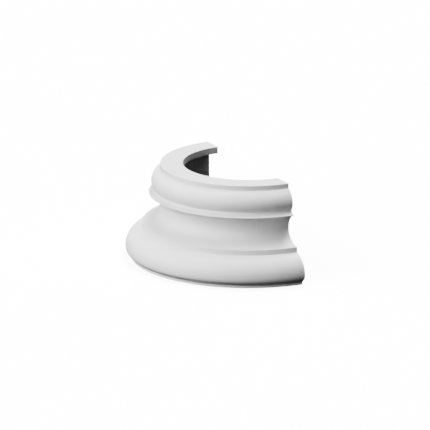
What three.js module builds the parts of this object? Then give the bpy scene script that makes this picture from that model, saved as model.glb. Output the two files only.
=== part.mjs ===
// Half of a round column base, cast in one piece and primed white.
// A thin collar at the top closes round a half shaft. Below it stand, from the top down, a fillet,
// an upper torus, a lip, a deep scotia, a second fillet, a lower torus and a small foot.
// Behind the mouldings the casting is hollow, open underneath and open at its flat back.
// Millimetres, +Z up. The flat back faces +Y and the mouldings swell towards -Y. The origin is the
// middle of the bounding box's underside.

import * as THREE from 'three';
import { mergeVertices } from 'three/addons/utils/BufferGeometryUtils.js';

// The shaft, the collar round it and the shell of the casting.
const shaftRadius = 110;
const shaftClearance = 1; // air between the shaft and the collar
const collarThickness = 12;
const leastWall = 6.5; // between the hollow and the narrowest moulding round it

// Height of each member, from the floor up. Together they make the overall height.
const footHeight = 4.5;
const undercutHeight = 4.7;
const lowerTorusHeight = 42.5;
const lowerFilletHeight = 9.4;
const scotiaHeight = 52.4;
const lipEdgeHeight = 1;
const lipCoveHeight = 7.2;
const upperTorusHeight = 35.1;
const upperFilletHeight = 8.2;

// Height of each round member's widest or narrowest place above that member's lower edge.
const lowerTorusBellyHeight = 9;
const scotiaThroatHeight = 26.4;
const upperTorusBellyHeight = 11.4;

// How far each member stands out from the face of the shaft.
const footProjection = 90.9;
const lowerTorusProjection = 100.5;
const lowerFilletProjection = 71.3;
const scotiaThroatProjection = 41;
const lipProjection = 60;
const lipRootProjection = 51;
const upperTorusProjection = 55.6;
const upperFilletProjection = 40;

// How far the lower torus draws in again between its belly and its lower edge.
const lowerTorusReturn = 4.4;

// Turn of each round member between its upright place and its edges, in degrees.
const lowerTorusTurnBelow = 58;
const lowerTorusTurnAbove = 78;
const scotiaTurnBelow = 80;
const scotiaTurnAbove = 76;
const lipCoveTurn = 73;
const upperTorusTurnBelow = 26;
const upperTorusTurnAbove = 50;

// Longest facet along the outline, and number of facets round the half circle (an even number).
const facetLength = 4;
const facetsRound = 48;

// One stretch of an ellipse in the outline's plane. It is upright at its start, the belly or the
// throat of a moulding, and it reaches its end after the given turn.
class RoundStretch extends THREE.Curve {
  constructor(upright, end, turnDegrees) {
    super();
    this.turn = THREE.MathUtils.degToRad(turnDegrees);
    this.upright = upright;
    this.across = (end.x - upright.x) / (1 - Math.cos(this.turn));
    this.along = (end.y - upright.y) / Math.sin(this.turn);
  }

  getPoint(t, target = new THREE.Vector2()) {
    const angle = t * this.turn;
    return target.set(
      this.upright.x + this.across * (1 - Math.cos(angle)),
      this.upright.y + this.along * Math.sin(angle),
    );
  }
}

function stretchPoints(upright, end, turnDegrees) {
  const stretch = new RoundStretch(upright, end, turnDegrees);
  return stretch.getSpacedPoints(Math.ceil(stretch.getLength() / facetLength));
}

// Points of a whole round member, from its lower edge to its upper edge.
function roundMember(low, upright, high, turnBelow, turnAbove) {
  const below = stretchPoints(upright, low, turnBelow).reverse();
  const above = stretchPoints(upright, high, turnAbove);
  return [...below, ...above.slice(1)];
}

// The section as a closed outline, x being the distance from the column's axis and y the height.
// It runs along the underside, up the mouldings, over the top and down the inside.
function sectionOutline() {
  const at = (projection, height) => new THREE.Vector2(shaftRadius + projection, height);

  const undercutTop = footHeight + undercutHeight;
  const lowerTorusTop = undercutTop + lowerTorusHeight;
  const lowerFilletTop = lowerTorusTop + lowerFilletHeight;
  const scotiaTop = lowerFilletTop + scotiaHeight;
  const lipEdgeTop = scotiaTop + lipEdgeHeight;
  const lipRoot = lipEdgeTop + lipCoveHeight;
  const upperTorusTop = lipRoot + upperTorusHeight;
  const top = upperTorusTop + upperFilletHeight;

  const lowerTorus = roundMember(
    at(lowerTorusProjection - lowerTorusReturn, undercutTop),
    at(lowerTorusProjection, undercutTop + lowerTorusBellyHeight),
    at(lowerFilletProjection, lowerTorusTop),
    lowerTorusTurnBelow,
    lowerTorusTurnAbove,
  );
  const scotia = roundMember(
    at(lowerFilletProjection, lowerFilletTop),
    at(scotiaThroatProjection, lowerFilletTop + scotiaThroatHeight),
    at(lipProjection, scotiaTop),
    scotiaTurnBelow,
    scotiaTurnAbove,
  );
  const lipCove = stretchPoints(
    at(lipRootProjection, lipRoot),
    at(lipProjection, lipEdgeTop),
    lipCoveTurn,
  ).reverse();
  const upperTorus = roundMember(
    at(lipRootProjection, lipRoot),
    at(upperTorusProjection, lipRoot + upperTorusBellyHeight),
    at(upperFilletProjection, upperTorusTop),
    upperTorusTurnBelow,
    upperTorusTurnAbove,
  );

  const narrowest = Math.min(upperFilletProjection, scotiaThroatProjection);
  const hollow = narrowest - leastWall;
  const collarUnderside = top - collarThickness;
  return [
    at(hollow, 0),
    at(footProjection, 0),
    at(footProjection, footHeight),
    ...lowerTorus,
    ...scotia,
    ...lipCove,
    ...upperTorus.slice(1),
    at(upperFilletProjection, top),
    at(shaftClearance, top),
    at(shaftClearance, collarUnderside),
    at(hollow, collarUnderside),
  ];
}

// Half a turn of the outline about the column's axis, closed by a flat face at each end.
function halfTurn(outline) {
  const closed = [...outline, outline[0]];
  const ring = new THREE.LatheGeometry(closed, facetsRound, -Math.PI / 2, Math.PI);
  const endFaces = THREE.ShapeUtils.triangulateShape([...outline], []);
  const lastRow = ring.attributes.position.count - closed.length;
  const index = [...ring.index.array];
  for (const [a, b, c] of endFaces) {
    index.push(a, b, c);
    index.push(lastRow + c, lastRow + b, lastRow + a);
  }
  ring.setIndex(index);
  ring.deleteAttribute('normal');
  ring.deleteAttribute('uv');
  ring.rotateX(Math.PI / 2);
  const solid = mergeVertices(ring);
  solid.computeVertexNormals();
  return solid;
}

const outline = sectionOutline();
const overallRadius = Math.max(...outline.map((point) => point.x));

const primedWhite = new THREE.MeshStandardMaterial({
  color: 0xebebe9,
  roughness: 0.6,
  metalness: 0,
  flatShading: true,
});

const base = new THREE.Mesh(halfTurn(outline), primedWhite);
base.name = 'half_column_base';
base.position.y = overallRadius / 2;

const part = new THREE.Group();
part.add(base);

export default part;
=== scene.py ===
"""Half of a round column base: the casting's smooth surface, its finishes, and the studio it stands in."""
import math

import bmesh
import bpy
from mathutils import Matrix, Vector


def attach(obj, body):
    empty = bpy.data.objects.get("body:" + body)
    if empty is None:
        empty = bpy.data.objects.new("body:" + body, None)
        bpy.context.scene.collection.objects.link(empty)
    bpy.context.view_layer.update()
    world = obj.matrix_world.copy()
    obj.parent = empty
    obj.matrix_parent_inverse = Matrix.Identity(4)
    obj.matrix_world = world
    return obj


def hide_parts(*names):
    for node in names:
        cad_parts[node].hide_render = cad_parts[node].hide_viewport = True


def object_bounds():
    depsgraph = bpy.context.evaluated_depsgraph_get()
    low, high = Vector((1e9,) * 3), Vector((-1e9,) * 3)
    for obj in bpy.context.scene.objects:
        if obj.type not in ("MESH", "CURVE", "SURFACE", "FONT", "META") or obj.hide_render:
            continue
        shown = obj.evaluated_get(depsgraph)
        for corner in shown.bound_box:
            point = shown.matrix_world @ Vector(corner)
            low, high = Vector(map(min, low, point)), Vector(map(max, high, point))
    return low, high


MM = 0.001

# The shaft, the collar round it and the shell of the casting.
SHAFT_RADIUS = 110 * MM
SHAFT_CLEARANCE = 1 * MM
COLLAR_THICKNESS = 12 * MM
LEAST_WALL = 6.5 * MM

# Height of each member, from the floor up.
FOOT_HEIGHT = 4.5 * MM
UNDERCUT_HEIGHT = 4.7 * MM
LOWER_TORUS_HEIGHT = 42.5 * MM
LOWER_FILLET_HEIGHT = 9.4 * MM
SCOTIA_HEIGHT = 52.4 * MM
LIP_EDGE_HEIGHT = 1 * MM
LIP_COVE_HEIGHT = 7.2 * MM
UPPER_TORUS_HEIGHT = 35.1 * MM
UPPER_FILLET_HEIGHT = 8.2 * MM

# Height of each round member's widest or narrowest place above its own lower edge.
LOWER_TORUS_BELLY_HEIGHT = 9 * MM
SCOTIA_THROAT_HEIGHT = 26.4 * MM
UPPER_TORUS_BELLY_HEIGHT = 11.4 * MM

# How far each member stands out from the face of the shaft.
FOOT_PROJECTION = 90.9 * MM
LOWER_TORUS_PROJECTION = 100.5 * MM
LOWER_FILLET_PROJECTION = 71.3 * MM
SCOTIA_THROAT_PROJECTION = 41 * MM
LIP_PROJECTION = 60 * MM
LIP_ROOT_PROJECTION = 51 * MM
UPPER_TORUS_PROJECTION = 55.6 * MM
UPPER_FILLET_PROJECTION = 40 * MM
HOLLOW_PROJECTION = min(UPPER_FILLET_PROJECTION, SCOTIA_THROAT_PROJECTION) - LEAST_WALL

# How far the lower torus draws in again between its belly and its lower edge.
LOWER_TORUS_RETURN = 4.4 * MM

# Turns of each round member from its upright place to its lower and upper edges, in degrees.
LOWER_TORUS_TURNS = (58, 78)
SCOTIA_TURNS = (80, 76)
LIP_COVE_TURN = 73
UPPER_TORUS_TURNS = (26, 50)

# Radii of the softened edges, and the fineness of the surface.
ARRIS = 0.7 * MM
LIP_ARRIS = 0.35 * MM
ARRIS_STEPS = 3
END_ARRIS = 0.3 * MM
END_ARRIS_STEPS = 2
FACET = 1.6 * MM
STEPS_ROUND = 144
SAME_POINT = 0.001 * MM

# The casting's three surfaces, in the order of its materials.
PRIMED, SAWN, INSIDE = range(3)

# The values between which a noise texture mostly runs.
NOISE_LOW = 0.3
NOISE_HIGH = 0.7

# The photograph's view: where the camera stands and what its middle looks at, seen from the foot
# of the column's axis.
CAMERA_AZIMUTH = math.radians(62.74)
CAMERA_ELEVATION = math.radians(16.24)
CAMERA_DISTANCE = 8.58
CAMERA_REACH = 100
CAMERA_LENS = 416.4
SENSOR_WIDTH = 36
AIM_SIDEWAYS = -0.0559
AIM_UP = 0.0677

# The studio.
WHITE = (1, 1, 1, 1)
FLOOR_RADIUS = 8
FLOOR_SIDES = 96
FLOOR_GAP = 0.1 * MM
FLOOR_COLOUR = (0.75, 0.75, 0.75, 1)
FLOOR_GLOW = 2.0
BACKDROP_GLOW = 3.1
AMBIENT_GLOW = 0.003
LIGHT_SPREAD = math.radians(36)


def stretch(upright, end, turn_degrees):
    """Points of one stretch of an ellipse, upright at its start, to its end after the turn."""
    turn = math.radians(turn_degrees)
    across = (end[0] - upright[0]) / (1 - math.cos(turn))
    along = (end[1] - upright[1]) / math.sin(turn)
    length = turn * (abs(across) + abs(along)) / 2
    steps = math.ceil(length / FACET)
    angles = [turn * k / steps for k in range(steps + 1)]
    return [(upright[0] + across * (1 - math.cos(a)), upright[1] + along * math.sin(a)) for a in angles]


def round_member(low, upright, high, turns):
    """Points of a whole round member, from its lower edge to its upper edge."""
    below = stretch(upright, low, turns[0])[::-1]
    return below + stretch(upright, high, turns[1])[1:]


def section():
    """The section as a closed outline, and its corners by the radius that softens them.

    Each point is its distance from the column's axis and its height. The outline runs along the
    underside, up the mouldings, over the top and down the inside.
    """
    def at(projection, height):
        return (SHAFT_RADIUS + projection, height)

    undercut_top = FOOT_HEIGHT + UNDERCUT_HEIGHT
    lower_torus_top = undercut_top + LOWER_TORUS_HEIGHT
    lower_fillet_top = lower_torus_top + LOWER_FILLET_HEIGHT
    scotia_top = lower_fillet_top + SCOTIA_HEIGHT
    lip_edge_top = scotia_top + LIP_EDGE_HEIGHT
    lip_root = lip_edge_top + LIP_COVE_HEIGHT
    upper_torus_top = lip_root + UPPER_TORUS_HEIGHT
    top = upper_torus_top + UPPER_FILLET_HEIGHT
    collar_underside = top - COLLAR_THICKNESS

    foot = [at(HOLLOW_PROJECTION, 0), at(FOOT_PROJECTION, 0), at(FOOT_PROJECTION, FOOT_HEIGHT)]
    lower_torus = round_member(
        at(LOWER_TORUS_PROJECTION - LOWER_TORUS_RETURN, undercut_top),
        at(LOWER_TORUS_PROJECTION, undercut_top + LOWER_TORUS_BELLY_HEIGHT),
        at(LOWER_FILLET_PROJECTION, lower_torus_top),
        LOWER_TORUS_TURNS)
    scotia = round_member(
        at(LOWER_FILLET_PROJECTION, lower_fillet_top),
        at(SCOTIA_THROAT_PROJECTION, lower_fillet_top + SCOTIA_THROAT_HEIGHT),
        at(LIP_PROJECTION, scotia_top),
        SCOTIA_TURNS)
    lip_cove = stretch(
        at(LIP_ROOT_PROJECTION, lip_root),
        at(LIP_PROJECTION, lip_edge_top),
        LIP_COVE_TURN)[::-1]
    upper_torus = round_member(
        at(LIP_ROOT_PROJECTION, lip_root),
        at(UPPER_TORUS_PROJECTION, lip_root + UPPER_TORUS_BELLY_HEIGHT),
        at(UPPER_FILLET_PROJECTION, upper_torus_top),
        UPPER_TORUS_TURNS)
    collar = [
        at(UPPER_FILLET_PROJECTION, top),
        at(SHAFT_CLEARANCE, top),
        at(SHAFT_CLEARANCE, collar_underside),
        at(HOLLOW_PROJECTION, collar_underside),
    ]

    corners = {
        ARRIS: foot + [lower_torus[0], lower_torus[-1], scotia[0], upper_torus[-1]] + collar,
        LIP_ARRIS: [scotia[-1], lip_cove[0], upper_torus[0]],
    }
    outline = foot + lower_torus + scotia + lip_cove + upper_torus[1:] + collar
    return outline, corners


def soften_corners(bm, corners, axis_y):
    """Rounds the corners of the flat section, each with its own radius."""
    for radius, points in corners.items():
        places = [Vector((x, axis_y, z)) for x, z in points]
        chosen = [v for v in bm.verts if any((v.co - place).length < SAME_POINT for place in places)]
        bmesh.ops.bevel(bm, geom=chosen, offset=radius, offset_type="OFFSET", segments=ARRIS_STEPS,
                        profile=0.5, affect="VERTICES", material=-1)


def half_turn(bm, axis_y):
    """Turns the flat section through half a circle about the column's axis."""
    bmesh.ops.spin(bm, geom=bm.verts[:] + bm.edges[:] + bm.faces[:], cent=(0, axis_y, 0), axis=(0, 0, -1),
                   angle=math.pi, steps=STEPS_ROUND)
    bmesh.ops.remove_doubles(bm, verts=bm.verts[:], dist=SAME_POINT)
    bmesh.ops.recalc_face_normals(bm, faces=bm.faces[:])


def is_end_face(face):
    """Only the two flat end faces have more than four sides."""
    return len(face.verts) > 4


def soften_ends(bm):
    """Breaks the edge round each of the two flat end faces."""
    rims = [edge for edge in bm.edges if any(is_end_face(face) for face in edge.link_faces)]
    bmesh.ops.bevel(bm, geom=rims, offset=END_ARRIS, offset_type="OFFSET", segments=END_ARRIS_STEPS,
                    profile=0.5, affect="EDGES", material=-1)


def sort_surfaces(bm, axis_y, top_z):
    """Gives each face its material: primed outside, sawn on the ends and underside, plain inside."""
    inside_radius = SHAFT_RADIUS + HOLLOW_PROJECTION + ARRIS / 2
    inside_top = top_z - COLLAR_THICKNESS + ARRIS / 2
    for face in bm.faces:
        face.smooth = True
        centre = face.calc_center_median()
        radius = math.hypot(centre.x, centre.y - axis_y)
        if is_end_face(face) or centre.z < SAME_POINT:
            face.material_index = SAWN
        elif radius < inside_radius and centre.z < inside_top:
            face.material_index = INSIDE
        else:
            face.material_index = PRIMED


def new_object(name, bm):
    """Puts a finished mesh into the scene."""
    mesh = bpy.data.meshes.new(name)
    bm.to_mesh(mesh)
    bm.free()
    thing = bpy.data.objects.new(name, mesh)
    bpy.context.scene.collection.objects.link(thing)
    return thing


def make_casting(axis_y, top_z):
    """The whole casting, as one closed mesh in the place of its CAD solid."""
    outline, corners = section()
    bm = bmesh.new()
    bm.faces.new([bm.verts.new((x, axis_y, z)) for x, z in outline])
    soften_corners(bm, corners, axis_y)
    half_turn(bm, axis_y)
    soften_ends(bm)
    sort_surfaces(bm, axis_y, top_z)
    casting = new_object("casting", bm)
    casting.modifiers.new("flat faces stay flat", "WEIGHTED_NORMAL").keep_sharp = True
    return casting


def fill_inputs(node, **inputs):
    """Fills a node's inputs, each named with _ for a space, with a value or another node's socket."""
    for name, value in inputs.items():
        socket = node.inputs[name.replace("_", " ")]
        if isinstance(value, bpy.types.NodeSocket):
            node.id_data.links.new(value, socket)
        else:
            socket.default_value = value


def add_node(tree, kind, settings=None, **inputs):
    """Adds a node with its settings and its inputs."""
    node = tree.nodes.new(kind)
    for name, value in (settings or {}).items():
        setattr(node, name, value)
    fill_inputs(node, **inputs)
    return node


def new_material(name):
    """A material with its node tree and its shader."""
    material = bpy.data.materials.new(name)
    material.use_nodes = True
    tree = material.node_tree
    return material, tree, tree.nodes["Principled BSDF"]


def own_place(tree):
    """Each point's place on the object, to paint with."""
    return add_node(tree, "ShaderNodeTexCoord").outputs["Object"]


def speckle(tree, place, size, detail=2):
    """Even noise between 0 and 1 whose lumps are about as large as the size."""
    return add_node(tree, "ShaderNodeTexNoise", Vector=place, Scale=1 / size, Detail=detail).outputs["Fac"]


def between(tree, noise, low, high):
    """A number that runs from low to high as the noise does."""
    return add_node(tree, "ShaderNodeMapRange", Value=noise, From_Min=NOISE_LOW, From_Max=NOISE_HIGH,
                    To_Min=low, To_Max=high).outputs["Result"]


def shade(tree, noise, low, high):
    """A neutral colour whose lightness runs from low to high as the noise does."""
    value = between(tree, noise, low, high)
    return add_node(tree, "ShaderNodeCombineColor", Red=value, Green=value, Blue=value).outputs["Color"]


def relief(tree, height, depth, under=None):
    """A bump of the given depth in metres, on top of the one below it."""
    bump = add_node(tree, "ShaderNodeBump", Height=height, Distance=depth, Strength=1)
    if under:
        fill_inputs(bump, Normal=under)
    return bump.outputs["Normal"]


def primed_surface():
    """Sprayed white primer over the smooth moulded skin."""
    material, tree, shader = new_material("primed_white")
    place = own_place(tree)
    clouds = speckle(tree, place, size=60 * MM)
    mist = speckle(tree, place, size=7 * MM)
    peel = speckle(tree, place, size=1.6 * MM, detail=3)
    waves = relief(tree, clouds, depth=0.25 * MM)
    fill_inputs(
        shader,
        Base_Color=shade(tree, clouds, low=0.78, high=0.82),
        Roughness=between(tree, mist, low=0.5, high=0.62),
        Normal=relief(tree, peel, depth=0.04 * MM, under=waves))
    return material


def sawn_surface():
    """Flat faces left by the saw: fine parallel marks, the foam's small cells, and thin primer."""
    material, tree, shader = new_material("sawn_white")
    place = own_place(tree)
    marks = add_node(tree, "ShaderNodeTexWave", {"bands_direction": "DIAGONAL"}, Vector=place,
                     Scale=130, Distortion=1.2, Detail=2, Detail_Scale=0.8).outputs["Fac"]
    cell_size = 0.9 * MM
    cells = add_node(tree, "ShaderNodeTexVoronoi", Vector=place, Scale=1 / cell_size).outputs["Distance"]
    clouds = speckle(tree, place, size=30 * MM)
    cuts = relief(tree, marks, depth=0.07 * MM)
    fill_inputs(
        shader,
        Base_Color=shade(tree, clouds, low=0.75, high=0.8),
        Roughness=0.75,
        Normal=relief(tree, cells, depth=0.1 * MM, under=cuts))
    return material


def inside_surface():
    """The plain skin of the hollow: the same white, less even, and a little darker, which is painted shade
    in the hollow.
    """
    material, tree, shader = new_material("inside_white")
    place = own_place(tree)
    clouds = speckle(tree, place, size=25 * MM, detail=4)
    skin = speckle(tree, place, size=3 * MM, detail=3)
    waves = relief(tree, clouds, depth=0.6 * MM)
    fill_inputs(
        shader,
        # A little darker than the primed white outside: painted shade in the hollow.
        Base_Color=shade(tree, clouds, low=0.72, high=0.78),
        Roughness=between(tree, skin, low=0.6, high=0.75),
        Normal=relief(tree, skin, depth=0.08 * MM, under=waves))
    return material


def direction(azimuth, elevation):
    """Unit vector towards a place in the studio; azimuth 0 is in front and 90 degrees is on the right."""
    flat = math.cos(elevation)
    return Vector((math.sin(azimuth) * flat, -math.cos(azimuth) * flat, math.sin(elevation)))


def place_camera(axis_foot):
    """The camera of the photograph's view."""
    back = direction(CAMERA_AZIMUTH, CAMERA_ELEVATION)
    right = Vector((math.cos(CAMERA_AZIMUTH), math.sin(CAMERA_AZIMUTH), 0))
    up = back.cross(right)
    data = bpy.data.cameras.new("camera")
    data.lens = CAMERA_LENS
    data.sensor_width = SENSOR_WIDTH
    data.clip_end = CAMERA_REACH
    camera = bpy.data.objects.new("camera", data)
    aim = axis_foot + AIM_SIDEWAYS * right + AIM_UP * up
    turn = Matrix((right, up, back)).transposed().to_4x4()
    camera.matrix_world = Matrix.Translation(aim + CAMERA_DISTANCE * back) @ turn
    bpy.context.scene.collection.objects.link(camera)
    bpy.context.scene.camera = camera


def lay_floor():
    """The pale floor, which throws no light back onto the object."""
    bm = bmesh.new()
    bmesh.ops.create_circle(bm, cap_ends=True, radius=FLOOR_RADIUS, segments=FLOOR_SIDES,
                            matrix=Matrix.Translation((0, 0, -FLOOR_GAP)))
    floor = new_object("floor", bm)
    material, _, shader = new_material("floor_white")
    fill_inputs(
        shader,
        Base_Color=FLOOR_COLOUR,
        Roughness=1,
        Specular_IOR_Level=0,
        Emission_Color=WHITE,
        Emission_Strength=FLOOR_GLOW)
    floor.data.materials.append(material)
    floor.visible_diffuse = False
    floor.visible_glossy = False


def light_world():
    """A white backdrop for the camera, and a faint even light for everything else."""
    world = bpy.data.worlds.new("studio")
    world.use_nodes = True
    tree = world.node_tree
    backdrop = tree.nodes["Background"]
    fill_inputs(backdrop, Color=WHITE, Strength=BACKDROP_GLOW)
    ambient = add_node(tree, "ShaderNodeBackground", Color=WHITE, Strength=AMBIENT_GLOW)
    seen = add_node(tree, "ShaderNodeLightPath").outputs["Is Camera Ray"]
    mix = add_node(tree, "ShaderNodeMixShader", Fac=seen)
    tree.links.new(ambient.outputs["Background"], mix.inputs[1])
    tree.links.new(backdrop.outputs["Background"], mix.inputs[2])
    fill_inputs(tree.nodes["World Output"], Surface=mix.outputs["Shader"])
    bpy.context.scene.world = world


def soft_light(name, azimuth, elevation, energy):
    """A wide soft light that shines on the object from one side of the studio, placed in degrees."""
    data = bpy.data.lights.new(name, "SUN")
    data.angle = LIGHT_SPREAD
    data.energy = energy
    light = bpy.data.objects.new(name, data)
    towards = direction(math.radians(azimuth), math.radians(elevation))
    light.matrix_world = towards.to_track_quat("Z", "Y").to_matrix().to_4x4()
    bpy.context.scene.collection.objects.link(light)


def light_casting():
    """The soft lights that shade the mouldings as in the photograph."""
    soft_light("front", azimuth=0, elevation=30, energy=1.62)
    soft_light("front left", azimuth=330, elevation=16, energy=1.25)
    soft_light("front right", azimuth=32, elevation=15, energy=0.78)
    soft_light("right", azimuth=80, elevation=26, energy=0.14)
    soft_light("overhead", azimuth=180, elevation=78, energy=1.92)
    soft_light("high behind", azimuth=225, elevation=62, energy=1.37)
    soft_light("low behind", azimuth=205, elevation=20, energy=0.45)


def set_tone():
    """The tone curve that turns the studio's light into the photograph's greys."""
    view = bpy.context.scene.view_settings
    view.view_transform = "AgX"
    view.look = "AgX - Very High Contrast"


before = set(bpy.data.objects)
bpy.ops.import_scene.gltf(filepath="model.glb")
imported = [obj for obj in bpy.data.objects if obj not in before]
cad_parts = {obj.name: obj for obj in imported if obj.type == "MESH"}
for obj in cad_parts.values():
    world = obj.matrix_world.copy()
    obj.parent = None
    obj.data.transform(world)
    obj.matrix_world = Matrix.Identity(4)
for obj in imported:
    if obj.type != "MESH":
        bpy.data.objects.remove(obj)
cad_low, cad_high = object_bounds()
place_camera(axis_foot=Vector((0, cad_high.y, 0)))

casting = make_casting(axis_y=cad_high.y, top_z=cad_high.z)
for make_surface in (primed_surface, sawn_surface, inside_surface):
    casting.data.materials.append(make_surface())
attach(casting, "root")
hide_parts("half_column_base")

lay_floor()
light_world()
light_casting()
set_tone()
